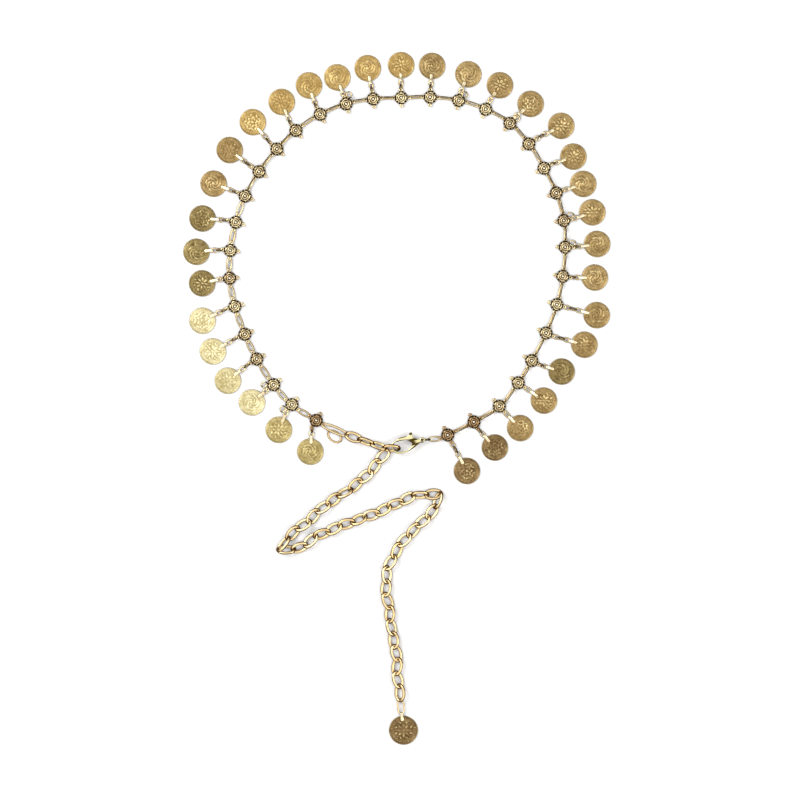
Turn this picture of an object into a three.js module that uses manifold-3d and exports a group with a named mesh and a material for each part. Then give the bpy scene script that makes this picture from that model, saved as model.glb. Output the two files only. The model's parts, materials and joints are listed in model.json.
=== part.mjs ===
// Coin chain belt, laid out flat: 34 cast rosettes joined by oval links into an open ring, a coin on a
// short drop below each rosette, a lobster clasp on one end and an adjuster chain with an end coin on
// the other. Millimetres, +Z up, the belt resting on z = 0 with its middle at the origin.
import * as THREE from "three";
import { mergeVertices } from "three/addons/utils/BufferGeometryUtils.js";
import Module from "manifold-3d";

const wasm = await Module();
wasm.setup();

// ---- Driving dimensions ----
const GAP = 0.3; // clear space between two pieces that are not one node
const BITE = 0.2; // how far two touching wires of one node are sunk into each other

const COIN = { radius: 8.7, thickness: 1.1, rim: 1.1, sunk: 0.35, sides: 12 };
const END_COIN = { ...COIN, radius: 9.5 };
const BAIL = { width: 1.3, strip: 0.42, bore: 0.7, edge: 1.5, leaf: 3.4 };
const DROP = { wire: 0.8, width: 3.2, height: 1.6, pitch: 3.5, sides: 3, steps: 4 };

const ROSETTE = {
  foot: 4.0, // radius of the flat underside
  waist: 4.9, // radius between two corner loops
  tip: 6.55, // radius at a corner loop
  loop: 5.1, // radius at which a corner loop is threaded
  loopHeight: 1.4,
  crown: 2.7,
};
const ROSETTE_COUNT = 34;
const PER_SECTION = 2;
const OVAL = { wire: 0.95, width: 3.4, roll: 55, height: 1.5, sides: 3, steps: 4 };

const CURB = { wire: 1.4, width: 7.5, pitch: 8.7, sides: 4, steps: 6 };
const END_LINK = { ...CURB, wire: 1.1, width: 4.4, roll: -60, height: 2.1 };
const JUMP_RING = { wire: 1.3, length: 11, width: 7.4, sides: 5, steps: 12, x: -41.2, y: -24.4, turn: -36 };
const CLASP = { length: 23, width: 9.4, arm: 2.1, thickness: 2.4, eye: 2.2, eyeThickness: 1, bottom: 2.7 };
const EYE_LINK = { ...OVAL, width: 3.9, roll: 80 };

// The middle line of the rosettes, from the chain's end of the ring to the clasp's end.
const RING_ROUTE = [
  { rosette: 1, x: -53.3, y: -13.8 },
  { rosette: 2, x: -69.3, y: -3.4 },
  { rosette: 4, x: -92.5, y: 26.7 },
  { rosette: 7, x: -110.4, y: 80.0 },
  { rosette: 10, x: -100.2, y: 134.2 },
  { rosette: 13, x: -66.7, y: 177.5 },
  { rosette: 15, x: -33.6, y: 195.0 },
  { rosette: 17, x: 2.8, y: 199.1 },
  { rosette: 19, x: 40.7, y: 197.3 },
  { rosette: 21, x: 74.5, y: 182.2 },
  { rosette: 23, x: 97.0, y: 152.6 },
  { rosette: 25, x: 110.1, y: 118.1 },
  { rosette: 28, x: 105.5, y: 62.6 },
  { rosette: 31, x: 80.0, y: 11.0 },
  { rosette: 32, x: 67.5, y: -4.4 },
  { rosette: 33, x: 50.8, y: -14.8 },
  { rosette: 34, x: 33.5, y: -23.4 },
];

// How each coin has come to lie: swing is its turn from square to the ring in degrees, and drop is the
// stretch of small links between the rosette's loop and the coin's bail.
const LAY = [
  { swing: 29, drop: 6.2 },
  { swing: 17, drop: 3.6 },
  { swing: 2, drop: 3.2 },
  { swing: 9, drop: 8.6 },
  { swing: 7, drop: 8.7 },
  { swing: 11, drop: 8.2 },
  { swing: 8, drop: 3.2 },
  { swing: 11, drop: 7.2 },
  { swing: 11, drop: 6.9 },
  { swing: 4, drop: 7.1 },
  { swing: -3, drop: 8.8 },
  { swing: -8, drop: 8.6 },
  { swing: -16, drop: 5.9 },
  { swing: -9, drop: 5.3 },
  { swing: 3, drop: 3.2 },
  { swing: 5, drop: 5.4 },
  { swing: -2, drop: 6.2 },
  { swing: -1, drop: 5.4 },
  { swing: -11, drop: 3.2 },
  { swing: -9, drop: 3.2 },
  { swing: -11, drop: 3.5 },
  { swing: -10, drop: 9.2 },
  { swing: -10, drop: 5.6 },
  { swing: -3, drop: 3.5 },
  { swing: 9, drop: 4.3 },
  { swing: 9, drop: 5.9 },
  { swing: 8, drop: 5.9 },
  { swing: 2, drop: 11.9 },
  { swing: 9, drop: 11.2 },
  { swing: 12, drop: 5.8 },
  { swing: 1, drop: 5.3 },
  { swing: 3, drop: 4.7 },
  { swing: 13, drop: 6.6 },
  { swing: 2, drop: 11.6 },
];

// The adjuster chain: the stretch up to the clasp, then the free tail as it was put down in a Z.
const UPPER_ROUTE = [
  { x: -32.8, y: -23.4 },
  { x: -17, y: -28.9 },
  { x: -8.5, y: -31.8 },
  { x: 2, y: -32.2 },
];
const TAIL_ROUTE = [
  { x: -6.4, y: -34.3 },
  { x: -12.4, y: -41 },
  { x: -26, y: -55.2 },
  { x: -46, y: -68.8 },
  { x: -60.5, y: -81.5 },
  { x: -73.5, y: -93 },
  { x: -76.6, y: -99.6 },
  { x: -72.5, y: -101.8 },
  { x: -52, y: -89.6 },
  { x: -13, y: -74.4 },
  { x: 8.5, y: -65 },
  { x: 26.6, y: -61.6 },
  { x: 29.6, y: -65.4 },
  { x: 17, y: -80.5 },
  { x: 4, y: -93.5 },
  { x: -6.6, y: -113 },
  { x: -5.6, y: -138 },
  { x: -1.2, y: -165 },
  { x: 2.8, y: -205 },
];
const CHAIN_LAY = { roll: 30, height: 2.2 };
const UPPER_LINKS = 4;
const TAIL_RUNS = [
  { name: "chain_tail_upper", links: 12 },
  { name: "chain_tail_middle", links: 13 },
  { name: "chain_tail_lower", links: 8 },
  { name: "chain_tail_end", links: 8 },
];
const HOOKED_LINK = { ...CURB, steps: 8, roll: 80, height: 3.85 };
const END_COIN_LAY = { x: 3, y: -207.3, heading: -83.3 };

// ---- Finishes ----
const metal = (color, roughness) => new THREE.MeshStandardMaterial({ color, roughness, metalness: 1 });
const ANTIQUE_GOLD = metal("#b79a62", 0.45);
const COIN_GOLD = metal("#b39a5f", 0.4);
const CHAMPAGNE_GOLD = metal("#e6cda0", 0.3);
const BRIGHT_GOLD = metal("#e3c76b", 0.22);

// ---- Solids ----
const radians = THREE.MathUtils.degToRad;

function solidOf(geometry) {
  const bare = geometry.clone();
  bare.deleteAttribute("normal");
  bare.deleteAttribute("uv");
  const merged = mergeVertices(bare, 1e-4);
  return new wasm.Manifold(
    new wasm.Mesh({
      numProp: 3,
      vertProperties: new Float32Array(merged.attributes.position.array),
      triVerts: new Uint32Array(merged.index.array),
    }),
  );
}

function geometryOf(solid) {
  const { vertProperties, triVerts } = solid.getMesh();
  const geometry = new THREE.BufferGeometry();
  geometry.setAttribute("position", new THREE.BufferAttribute(vertProperties, 3));
  geometry.setIndex(new THREE.BufferAttribute(triVerts, 1));
  geometry.computeVertexNormals();
  return geometry;
}

const joined = (solids) => solids.reduce((whole, solid) => whole.add(solid));

function piece(name, geometry, material) {
  const mesh = new THREE.Mesh(geometry, material);
  mesh.name = name;
  return mesh;
}

// A closed ring of wire in the XY plane, long in X: reach and spread are half its middle line's length
// and width, and its ends are flat.
function wireRing({ reach, spread, wire, sides, steps }) {
  const round = steps % 4 === 0 ? spread / Math.cos(Math.PI / steps) : spread;
  const ring = new THREE.TorusGeometry(round, wire / 2, sides, steps).rotateZ(Math.PI / steps);
  const stretch = reach - round * Math.cos(Math.PI / steps);
  const place = ring.attributes.position;
  for (let i = 0; i < place.count; i++) {
    const x = place.getX(i);
    if (Math.abs(x) > 1e-3 * round) place.setX(i, x + Math.sign(x) * stretch);
  }
  return ring;
}

// The place of a link whose middle line runs from one joint to the next, rolled about that line.
function between(start, end, rollDegrees) {
  const along = end.clone().sub(start).normalize();
  const side = new THREE.Vector3(0, 0, 1).cross(along).normalize();
  const up = along.clone().cross(side);
  const middle = start.clone().add(end).multiplyScalar(0.5);
  const roll = new THREE.Matrix4().makeRotationX(radians(rollDegrees));
  return new THREE.Matrix4().makeBasis(along, side, up).multiply(roll).setPosition(middle);
}

// A link between two joints. Its end wires pass the joints by half a wire, less half the bite, so that
// neighbours just touch. With grown set, it is the space that a piece of another node keeps out of.
function link(kind, start, end, { roll = 0, overrun = (kind.wire - BITE) / 2, grown = 0 } = {}) {
  const facing = Math.cos(Math.PI / kind.sides) * Math.cos(Math.PI / kind.steps);
  const ring = wireRing({
    reach: start.distanceTo(end) / 2 + overrun,
    spread: (kind.width - kind.wire) / 2,
    wire: kind.wire + (2 * grown) / facing,
    sides: kind.sides,
    steps: kind.steps,
  });
  return solidOf(ring.applyMatrix4(between(start, end, roll)));
}

const flat = ({ x, y }, height = 0) => new THREE.Vector3(x, y, height);
const curveThrough = (points) => new THREE.CatmullRomCurve3(points.map((p) => flat(p)), false, "centripetal");

// The joints of a chain of rigid links laid along a curve, all one pitch apart.
function jointsAlong(curve, pitch, count) {
  const fine = curve.getSpacedPoints(4000);
  const joints = [fine[0].clone()];
  for (const point of fine) {
    if (joints.length > count) break;
    if (point.distanceTo(joints.at(-1)) >= pitch) joints.push(point.clone());
  }
  return joints;
}

// ---- Coin with its bail ----
// Made about its pivot, the middle of the wire that the bail hangs on, and reaching out along +X.
function coinWithBail(coin) {
  const { radius, thickness, rim, sunk, sides } = coin;
  const profile = [
    [0, 0],
    [radius, 0],
    [radius, thickness],
    [radius - rim, thickness - sunk],
    [0, thickness - sunk],
  ].map(([r, z]) => new THREE.Vector2(r, z));
  const disc = new THREE.LatheGeometry(profile, sides).rotateX(Math.PI / 2);
  disc.translate(BAIL.edge + radius, 0, 0);

  const { strip, bore, edge, leaf, width } = BAIL;
  const outside = bore + strip;
  const side = new THREE.Shape([
    new THREE.Vector2(-outside, DROP.height - outside),
    new THREE.Vector2(edge + 0.5, 0),
    new THREE.Vector2(edge + 0.5, thickness - 0.05),
    new THREE.Vector2(edge + leaf, thickness - sunk - 0.05),
    new THREE.Vector2(edge + leaf, thickness + strip * 0.6),
    new THREE.Vector2(outside * 0.4, DROP.height + outside),
    new THREE.Vector2(-outside, DROP.height + outside * 0.7),
  ]);
  side.holes.push(
    new THREE.Path([
      new THREE.Vector2(bore, DROP.height - bore),
      new THREE.Vector2(bore, DROP.height + bore),
      new THREE.Vector2(-bore, DROP.height + bore),
      new THREE.Vector2(-bore, DROP.height - bore),
    ]),
  );
  const bail = new THREE.ExtrudeGeometry(side, { depth: width, bevelEnabled: false });
  bail.translate(0, 0, -width / 2).rotateX(Math.PI / 2);
  // The pivot is the origin, so a coin turns about its own mesh's origin.
  return geometryOf(solidOf(disc).add(solidOf(bail)).translate([0, 0, -DROP.height]));
}

// ---- Rosette ----
// A low cast dome on a flat foot, with a corner loop towards each neighbour, outwards and inwards.
function rosetteGeometry() {
  const { foot, waist, tip, loopHeight, crown } = ROSETTE;
  const corner = tip / Math.cos(Math.PI / 12);
  const profile = [
    [0, 0],
    [foot, 0],
    [corner, loopHeight],
    [0, crown],
  ].map(([r, z]) => new THREE.Vector2(r, z));
  const body = new THREE.LatheGeometry(profile, 12, Math.PI / 12).rotateX(Math.PI / 2);
  const place = body.attributes.position;
  for (let i = 0; i < place.count; i++) {
    const x = place.getX(i);
    const y = place.getY(i);
    const onDiagonal = Math.abs(Math.abs(x) - Math.abs(y)) < 1e-3;
    const outside = Math.hypot(x, y) > foot + 0.1;
    if (onDiagonal && outside) place.setXY(i, (x * waist) / corner, (y * waist) / corner);
  }
  return body;
}

const ROSETTE_SHAPE = rosetteGeometry();
const ringLine = curveThrough(RING_ROUTE);
const centres = Array.from({ length: ROSETTE_COUNT }, (_, i) => {
  const row = Math.max(1, RING_ROUTE.findIndex(({ rosette }) => rosette >= i + 1));
  const { rosette: from } = RING_ROUTE[row - 1];
  const { rosette: to } = RING_ROUTE[row];
  return ringLine.getPoint((row - 1 + (i + 1 - from) / (to - from)) / (RING_ROUTE.length - 1));
});
const headings = centres.map((centre, i) => {
  const before = centres[Math.max(i - 1, 0)];
  const after = centres[Math.min(i + 1, ROSETTE_COUNT - 1)];
  return Math.atan2(after.y - before.y, after.x - before.x);
});

// The middle of a rosette's corner loop, turned from the way along the ring by the given degrees.
function loopOf(i, turnDegrees, height) {
  const angle = headings[i] + radians(turnDegrees);
  const reach = ROSETTE.loop;
  return flat(centres[i], height).add(new THREE.Vector3(reach * Math.cos(angle), reach * Math.sin(angle), 0));
}
const NEXT = 0;
const OUTWARD = 90;
const BACK = 180;

function rosette(i) {
  const turn = new THREE.Matrix4().makeRotationZ(headings[i]).setPosition(flat(centres[i]));
  return solidOf(ROSETTE_SHAPE.clone().applyMatrix4(turn));
}

function ovalLink(i, grown = 0) {
  const start = loopOf(i, NEXT, OVAL.height);
  const end = loopOf(i + 1, BACK, OVAL.height);
  return link(OVAL, start, end, { roll: OVAL.roll, overrun: 0, grown });
}

// ---- Drops ----
function dropOf(i) {
  const { swing, drop } = LAY[i];
  const heading = headings[i] + radians(OUTWARD + swing);
  const root = loopOf(i, OUTWARD, DROP.height);
  const along = new THREE.Vector3(Math.cos(heading), Math.sin(heading), 0);
  return { root, along, heading, pivot: root.clone().addScaledVector(along, drop) };
}

// Small links from the rosette's loop to the bail; the last lies flat and the others are tipped.
function dropLinks(i) {
  const { root, along } = dropOf(i);
  const { drop } = LAY[i];
  const count = Math.max(1, Math.round(drop / DROP.pitch));
  const lap = BITE / 2;
  const length = (drop + (count - 1) * lap) / count;
  return Array.from({ length: count }, (_, k) => {
    const start = root.clone().addScaledVector(along, k * (length - lap));
    const end = start.clone().addScaledVector(along, length);
    const tipped = (count - 1 - k) % 2 === 1;
    return link(DROP, start, end, { roll: tipped ? 60 : 0, overrun: 0 });
  });
}

// ---- Clasp ----
// A lobster clasp laid flat, made along X from its hook at -X to its eye at +X.
const claspHook = new THREE.Vector3(-3.9, -32.3, 0);
const claspEye = new THREE.Vector3(19, -26, 0);
const claspPlace = between(claspHook, claspEye, 0).multiply(
  new THREE.Matrix4().makeTranslation(0, 0, CLASP.bottom),
);
const claspEyeMiddle = new THREE.Vector3(CLASP.length / 2 - CLASP.eye + 0.2, 0, CLASP.thickness / 2);
claspEyeMiddle.applyMatrix4(claspPlace);

function rounded(shape, points, radius) {
  points.forEach(([x, y], i) => {
    const [px, py] = points[(i + points.length - 1) % points.length];
    const [nx, ny] = points[(i + 1) % points.length];
    const corner = new THREE.Vector2(x, y);
    const from = new THREE.Vector2(px, py).sub(corner).setLength(radius).add(corner);
    const to = new THREE.Vector2(nx, ny).sub(corner).setLength(radius).add(corner);
    if (i === 0) shape.moveTo(from.x, from.y);
    else shape.lineTo(from.x, from.y);
    shape.quadraticCurveTo(x, y, to.x, to.y);
  });
  return shape;
}

function claspGeometry() {
  const { length, width, arm, thickness, eye } = CLASP;
  const half = length / 2;
  const neck = half - 2 * eye - 0.6;
  const outline = rounded(
    new THREE.Shape(),
    [
      [-half, -width / 2],
      [-half, width / 2],
      [neck - 4, width / 2],
      [neck, eye],
      [half, eye],
      [half, -eye],
      [neck, -eye],
      [neck - 4, -width / 2],
    ],
    1.9,
  );
  outline.holes.push(
    rounded(
      new THREE.Path(),
      [
        [-half + arm, -width / 2 + arm],
        [neck - 3.6, -width / 2 + arm],
        [neck - 1.6, 0],
        [neck - 3.6, width / 2 - arm],
        [-half + arm, width / 2 - arm],
      ],
      1.2,
    ),
  );
  const eyeHole = Array.from({ length: 8 }, (_, corner) => {
    const angle = ((corner + 0.5) * Math.PI) / 4;
    return new THREE.Vector2(half - eye + 1.2 * Math.cos(angle), 1.2 * Math.sin(angle));
  });
  outline.holes.push(new THREE.Path(eyeHole));
  const options = { depth: thickness, bevelEnabled: false, curveSegments: 3 };
  const thinned = (thickness - CLASP.eyeThickness) / 2;
  const aboveEye = solidOf(new THREE.BoxGeometry(8, 8, 2).translate(neck + 5, 0, thickness - thinned + 1));
  const belowEye = solidOf(new THREE.BoxGeometry(8, 8, 2).translate(neck + 5, 0, thinned - 1));
  return solidOf(new THREE.ExtrudeGeometry(outline, options)).subtract(aboveEye).subtract(belowEye);
}

// The gate closes the hook's upper side: a bar from the tip to its pivot with a thumb piece on it.
const GATE = { from: -7.4, to: 2.6, nubFrom: 0.6, nubTo: 2.4, nub: 1.5 };

function gateSpace(grown) {
  const { width, arm, thickness } = CLASP;
  const depth = arm + 2 + 2 * grown;
  const long = GATE.to - GATE.from + 2 * grown;
  const space = new THREE.BoxGeometry(long, depth, thickness + 2);
  return space.translate((GATE.from + GATE.to) / 2, width / 2 - arm + 1 + arm / 2, thickness / 2);
}

function gateGeometry() {
  const { width, arm, thickness } = CLASP;
  const top = width / 2;
  const outline = new THREE.Shape([
    new THREE.Vector2(GATE.from, top - arm + 0.3),
    new THREE.Vector2(GATE.to, top - arm + 0.3),
    new THREE.Vector2(GATE.to, top),
    new THREE.Vector2(GATE.nubTo, top),
    new THREE.Vector2(GATE.nubTo - 0.5, top + GATE.nub),
    new THREE.Vector2(GATE.nubFrom, top + GATE.nub),
    new THREE.Vector2(GATE.nubFrom, top),
    new THREE.Vector2(GATE.from, top - 0.3),
  ]);
  const gate = new THREE.ExtrudeGeometry(outline, { depth: thickness - 0.6, bevelEnabled: false });
  return gate.translate(0, 0, 0.3);
}

// ---- The belt ----
const belt = new THREE.Group();

// Ring: two rosettes a section, with the oval links after them and the drops below them.
const endLoop = loopOf(0, BACK, END_LINK.height);
const upperStart = flat(UPPER_ROUTE[0], END_LINK.height);
const endLink = (grown) => link(END_LINK, endLoop, upperStart, { roll: END_LINK.roll, overrun: 0, grown });

for (let first = 0; first < ROSETTE_COUNT; first += PER_SECTION) {
  const solids = [];
  for (let i = first; i < first + PER_SECTION; i++) {
    let body = rosette(i);
    if (i === 0) body = body.subtract(endLink(GAP));
    else if (i === first) body = body.subtract(ovalLink(i - 1, GAP));
    solids.push(body);
    solids.push(...dropLinks(i));
    if (i < ROSETTE_COUNT - 1) solids.push(ovalLink(i));
    else solids.push(link(EYE_LINK, loopOf(i, NEXT, 2), claspEyeMiddle, { roll: EYE_LINK.roll, overrun: 0 }));
  }
  const name = `rosettes_${String(first / PER_SECTION + 1).padStart(2, "0")}`;
  belt.add(piece(name, geometryOf(joined(solids)), ANTIQUE_GOLD));
}

const COIN_SHAPE = coinWithBail(COIN);
for (let i = 0; i < ROSETTE_COUNT; i++) {
  const { pivot, heading } = dropOf(i);
  const coin = piece(`coin_${String(i + 1).padStart(2, "0")}`, COIN_SHAPE, COIN_GOLD);
  coin.position.copy(pivot);
  coin.rotation.z = heading;
  belt.add(coin);
}

// Adjuster chain, from the ring's end to the clasp.
const upperJoints = jointsAlong(curveThrough(UPPER_ROUTE), CURB.pitch, UPPER_LINKS);
const upperSolids = [endLink(0)];
const hookedLink = (grown) => {
  const { height, roll } = HOOKED_LINK;
  return link(HOOKED_LINK, upperJoints.at(-2).setZ(height), upperJoints.at(-1).setZ(height), { roll, grown });
};
for (let k = 0; k < UPPER_LINKS - 1; k++) {
  const start = upperJoints[k].clone().setZ(CHAIN_LAY.height);
  const end = upperJoints[k + 1].clone().setZ(CHAIN_LAY.height);
  upperSolids.push(link(CURB, start, end, { roll: CHAIN_LAY.roll * (k % 2 ? 1 : -1) }));
}
upperSolids.push(hookedLink(0));
belt.add(piece("chain_to_clasp", geometryOf(joined(upperSolids)), CHAMPAGNE_GOLD));

// Free tail, from the hooked link to the end coin.
const tailCount = TAIL_RUNS.reduce((sum, run) => sum + run.links, 0);
const tailJoints = jointsAlong(curveThrough(TAIL_ROUTE), CURB.pitch, tailCount);
let firstLink = 0;
let lastOfRun = hookedLink(GAP);
for (const run of TAIL_RUNS) {
  const solids = [];
  for (let k = firstLink; k < firstLink + run.links; k++) {
    const start = tailJoints[k].clone().setZ(CHAIN_LAY.height);
    const end = tailJoints[k + 1].clone().setZ(CHAIN_LAY.height);
    const shape = { roll: CHAIN_LAY.roll * (k % 2 ? -1 : 1) };
    let made = link(CURB, start, end, shape);
    if (k === firstLink) made = made.subtract(lastOfRun);
    if (k === firstLink + run.links - 1) lastOfRun = link(CURB, start, end, { ...shape, grown: GAP });
    solids.push(made);
  }
  if (run === TAIL_RUNS.at(-1)) {
    const last = tailJoints.at(-1).clone().setZ(DROP.height);
    solids.push(link(DROP, last, flat(END_COIN_LAY, DROP.height), { overrun: 0 }));
  }
  belt.add(piece(run.name, geometryOf(joined(solids)), CHAMPAGNE_GOLD));
  firstLink += run.links;
}

const endCoin = piece("end_coin", coinWithBail(END_COIN), COIN_GOLD);
endCoin.position.copy(flat(END_COIN_LAY, DROP.height));
endCoin.rotation.z = radians(END_COIN_LAY.heading);
belt.add(endCoin);

// Jump ring, lying on the ground with its upper edge below the long end link.
const jumpRing = wireRing({
  reach: (JUMP_RING.length - JUMP_RING.wire) / 2,
  spread: (JUMP_RING.width - JUMP_RING.wire) / 2,
  wire: JUMP_RING.wire,
  sides: JUMP_RING.sides,
  steps: JUMP_RING.steps,
});
jumpRing.rotateZ(radians(JUMP_RING.turn)).translate(JUMP_RING.x, JUMP_RING.y, JUMP_RING.wire / 2);
belt.add(piece("jump_ring", geometryOf(solidOf(jumpRing)), CHAMPAGNE_GOLD));

// Clasp, its body open on the upper side where the gate sits.
const placed = (geometry) => geometry.applyMatrix4(claspPlace);
const claspBody = claspGeometry().subtract(solidOf(gateSpace(GAP)));
belt.add(piece("clasp_body", placed(geometryOf(claspBody)), BRIGHT_GOLD));
belt.add(piece("clasp_gate", placed(geometryOf(solidOf(gateGeometry()))), BRIGHT_GOLD));

// Everything is placed about the middle of its own outline, so the origin is below the belt's middle.
belt.updateMatrixWorld(true);
const middle = new THREE.Box3().setFromObject(belt, true).getCenter(new THREE.Vector3());
belt.position.set(-middle.x, -middle.y, 0);

export default belt;
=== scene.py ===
"""Looks of the coin chain belt: cast rosettes, small links, struck coins, adjuster chain and clasp,
laid out flat on a pale table and seen from straight above. Sizes in the sections are millimetres.
"""

import json
import math

import bpy
import numpy as np
from mathutils import Matrix, Vector


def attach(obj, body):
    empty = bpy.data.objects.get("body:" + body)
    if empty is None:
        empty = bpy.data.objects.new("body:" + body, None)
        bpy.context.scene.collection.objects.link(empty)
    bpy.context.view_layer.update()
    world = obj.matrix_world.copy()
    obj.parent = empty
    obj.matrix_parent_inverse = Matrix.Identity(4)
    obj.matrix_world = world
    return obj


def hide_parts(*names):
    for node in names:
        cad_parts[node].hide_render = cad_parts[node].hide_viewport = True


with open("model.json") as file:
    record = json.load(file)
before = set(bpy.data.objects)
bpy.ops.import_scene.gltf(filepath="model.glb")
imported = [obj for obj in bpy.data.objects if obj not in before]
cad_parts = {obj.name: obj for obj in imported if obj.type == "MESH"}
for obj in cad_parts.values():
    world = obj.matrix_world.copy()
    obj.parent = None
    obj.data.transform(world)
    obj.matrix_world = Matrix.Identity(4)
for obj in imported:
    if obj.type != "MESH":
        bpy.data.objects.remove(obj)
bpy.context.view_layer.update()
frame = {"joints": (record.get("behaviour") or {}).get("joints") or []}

# ---- Table, light and camera ----
# A matt white table under a soft glow, white overhead, warm and dim at the horizon and brighter towards
# the near side, with two large lamps. The camera hangs above the belt and looks straight down.

MM = 0.001
SHIFT = Vector((0.167, -0.819, 0))  # from the tables below to the middle of the belt, mm

scene = bpy.context.scene
scene.view_settings.view_transform = "Standard"
scene.view_settings.look = "None"

camera_data = bpy.data.cameras.new("camera")
camera = bpy.data.objects.new("camera", camera_data)
scene.collection.objects.link(camera)
scene.camera = camera
CAMERA_HEIGHT, SEEN_WIDTH = 3.0, 0.528  # metres, as are the places of the camera and the lamps
AIM = (0.00215, -0.00115)  # the middle of the view
camera_data.sensor_width = 36
camera_data.lens = camera_data.sensor_width * CAMERA_HEIGHT / SEEN_WIDTH
camera.location = (*AIM, CAMERA_HEIGHT)

HORIZON_TINT, OVERHEAD_TINT = (1.0, 0.86, 0.66, 1), (1.0, 1.0, 0.995, 1)
TINT_TOP = 0.7  # how high up the sky is white
SKY_RISE = {"From Min": -0.1, "From Max": 0.95, "To Min": 0.2, "To Max": 1.08}  # height, its light
NEAR_SIDE = (-0.2, -0.5, 0)  # the way in which the sky gets brighter
world = bpy.data.worlds.new("soft room")
scene.world = world
world.use_nodes = True
sky = world.node_tree
sky.nodes.clear()
sky_place = sky.nodes.new("ShaderNodeTexCoord")
sky_split = sky.nodes.new("ShaderNodeSeparateXYZ")
sky_ramp = sky.nodes.new("ShaderNodeMapRange")
sky_side = sky.nodes.new("ShaderNodeVectorMath")
sky_lean = sky.nodes.new("ShaderNodeMath")
sky_light = sky.nodes.new("ShaderNodeBackground")
sky_out = sky.nodes.new("ShaderNodeOutputWorld")
for key, value in SKY_RISE.items():
    sky_ramp.inputs[key].default_value = value
sky_warm = sky.nodes.new("ShaderNodeMix")
sky_warm.data_type = "RGBA"
sky_warm.inputs[6].default_value = HORIZON_TINT
sky_warm.inputs[7].default_value = OVERHEAD_TINT
sky_high = sky.nodes.new("ShaderNodeMapRange")
sky_high.inputs["From Max"].default_value = TINT_TOP
sky_side.operation = "DOT_PRODUCT"
sky_side.inputs[1].default_value = NEAR_SIDE
sky_lean.operation = "MULTIPLY_ADD"


def link_nodes(tree, pairs):
    for output, entry in pairs:
        tree.links.new(output, entry)


link_nodes(
    sky,
    [
        (sky_place.outputs["Generated"], sky_split.inputs[0]),
        (sky_split.outputs["Z"], sky_ramp.inputs["Value"]),
        (sky_place.outputs["Generated"], sky_side.inputs[0]),
        (sky_side.outputs["Value"], sky_lean.inputs[0]),
        (sky_ramp.outputs["Result"], sky_lean.inputs[1]),
        (sky_ramp.outputs["Result"], sky_lean.inputs[2]),
        (sky_lean.outputs["Value"], sky_light.inputs["Strength"]),
        (sky_split.outputs["Z"], sky_high.inputs["Value"]),
        (sky_high.outputs["Result"], sky_warm.inputs[0]),
        (sky_warm.outputs[2], sky_light.inputs["Color"]),
        (sky_light.outputs["Background"], sky_out.inputs["Surface"]),
    ],
)


def lamp(name, place, size, power):
    """A large square lamp aimed at the middle of the belt."""
    data = bpy.data.lights.new(name, "AREA")
    data.shape = "SQUARE"
    data.size = size
    data.energy = power
    made = bpy.data.objects.new(name, data)
    made.location = place
    made.rotation_euler = (-Vector(place)).to_track_quat("-Z", "Y").to_euler()
    scene.collection.objects.link(made)


lamp("lamp left", (-1.3, 0.9, 1.7), 1.3, 26)
lamp("lamp right", (1.5, -0.4, 1.6), 1.1, 14)


class Socket:
    """A shader output that can be used in sums."""

    def __init__(self, graph, output):
        self.graph = graph
        self.output = output

    def __add__(self, other):
        return self.graph.maths("ADD", self, other)

    def __radd__(self, other):
        return self.graph.maths("ADD", other, self)

    def __sub__(self, other):
        return self.graph.maths("SUBTRACT", self, other)

    def __rsub__(self, other):
        return self.graph.maths("SUBTRACT", other, self)

    def __mul__(self, other):
        return self.graph.maths("MULTIPLY", self, other)

    def __rmul__(self, other):
        return self.graph.maths("MULTIPLY", other, self)

    def between(self, low, high):
        """0 below low, 1 above high, smooth between them."""
        settings = {"interpolation_type": "SMOOTHSTEP"}
        inputs = {"Value": self, "From Min": low, "From Max": high}
        return self.graph.node("ShaderNodeMapRange", inputs, "Result", **settings)


class Graph:
    """The node graph of one material around one Principled shader."""

    def __init__(self, name):
        self.material = bpy.data.materials.new(name)
        self.material.use_nodes = True
        self.tree = self.material.node_tree
        self.tree.nodes.clear()
        self.shader = self.tree.nodes.new("ShaderNodeBsdfPrincipled")
        out = self.tree.nodes.new("ShaderNodeOutputMaterial")
        self.tree.links.new(self.shader.outputs["BSDF"], out.inputs["Surface"])

    def plug(self, value, socket):
        if isinstance(value, Socket):
            self.tree.links.new(value.output, socket)
        else:
            socket.default_value = value

    def node(self, kind, inputs, output=0, **settings):
        made = self.tree.nodes.new(kind)
        for key, value in settings.items():
            setattr(made, key, value)
        for key, value in inputs.items():
            self.plug(value, made.inputs[key])
        return Socket(self, made.outputs[output])

    def maths(self, operation, *values):
        made = self.tree.nodes.new("ShaderNodeMath")
        made.operation = operation
        for socket, value in zip(made.inputs, values):
            self.plug(value, socket)
        return Socket(self, made.outputs[0])

    def mix(self, factor, low, high):
        """A colour that goes from low to high."""
        return self.node("ShaderNodeMix", {0: factor, 6: low, 7: high}, 2, data_type="RGBA")

    def attribute(self, name):
        return self.node("ShaderNodeAttribute", {}, "Fac", attribute_name=name)

    def place(self):
        return self.node("ShaderNodeTexCoord", {}, "Object")

    def noise(self, scale, detail=3.0, roughness=0.55):
        inputs = {"Vector": self.place(), "Scale": scale, "Detail": detail, "Roughness": roughness}
        return self.node("ShaderNodeTexNoise", inputs, "Fac")

    def bump(self, height, distance, strength=1.0):
        inputs = {"Height": height, "Distance": distance, "Strength": strength}
        return self.node("ShaderNodeBump", inputs, "Normal")

    def finish(self, **inputs):
        for key, value in inputs.items():
            self.plug(value, self.shader.inputs[key.replace("_", " ")])
        return self.material


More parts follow.
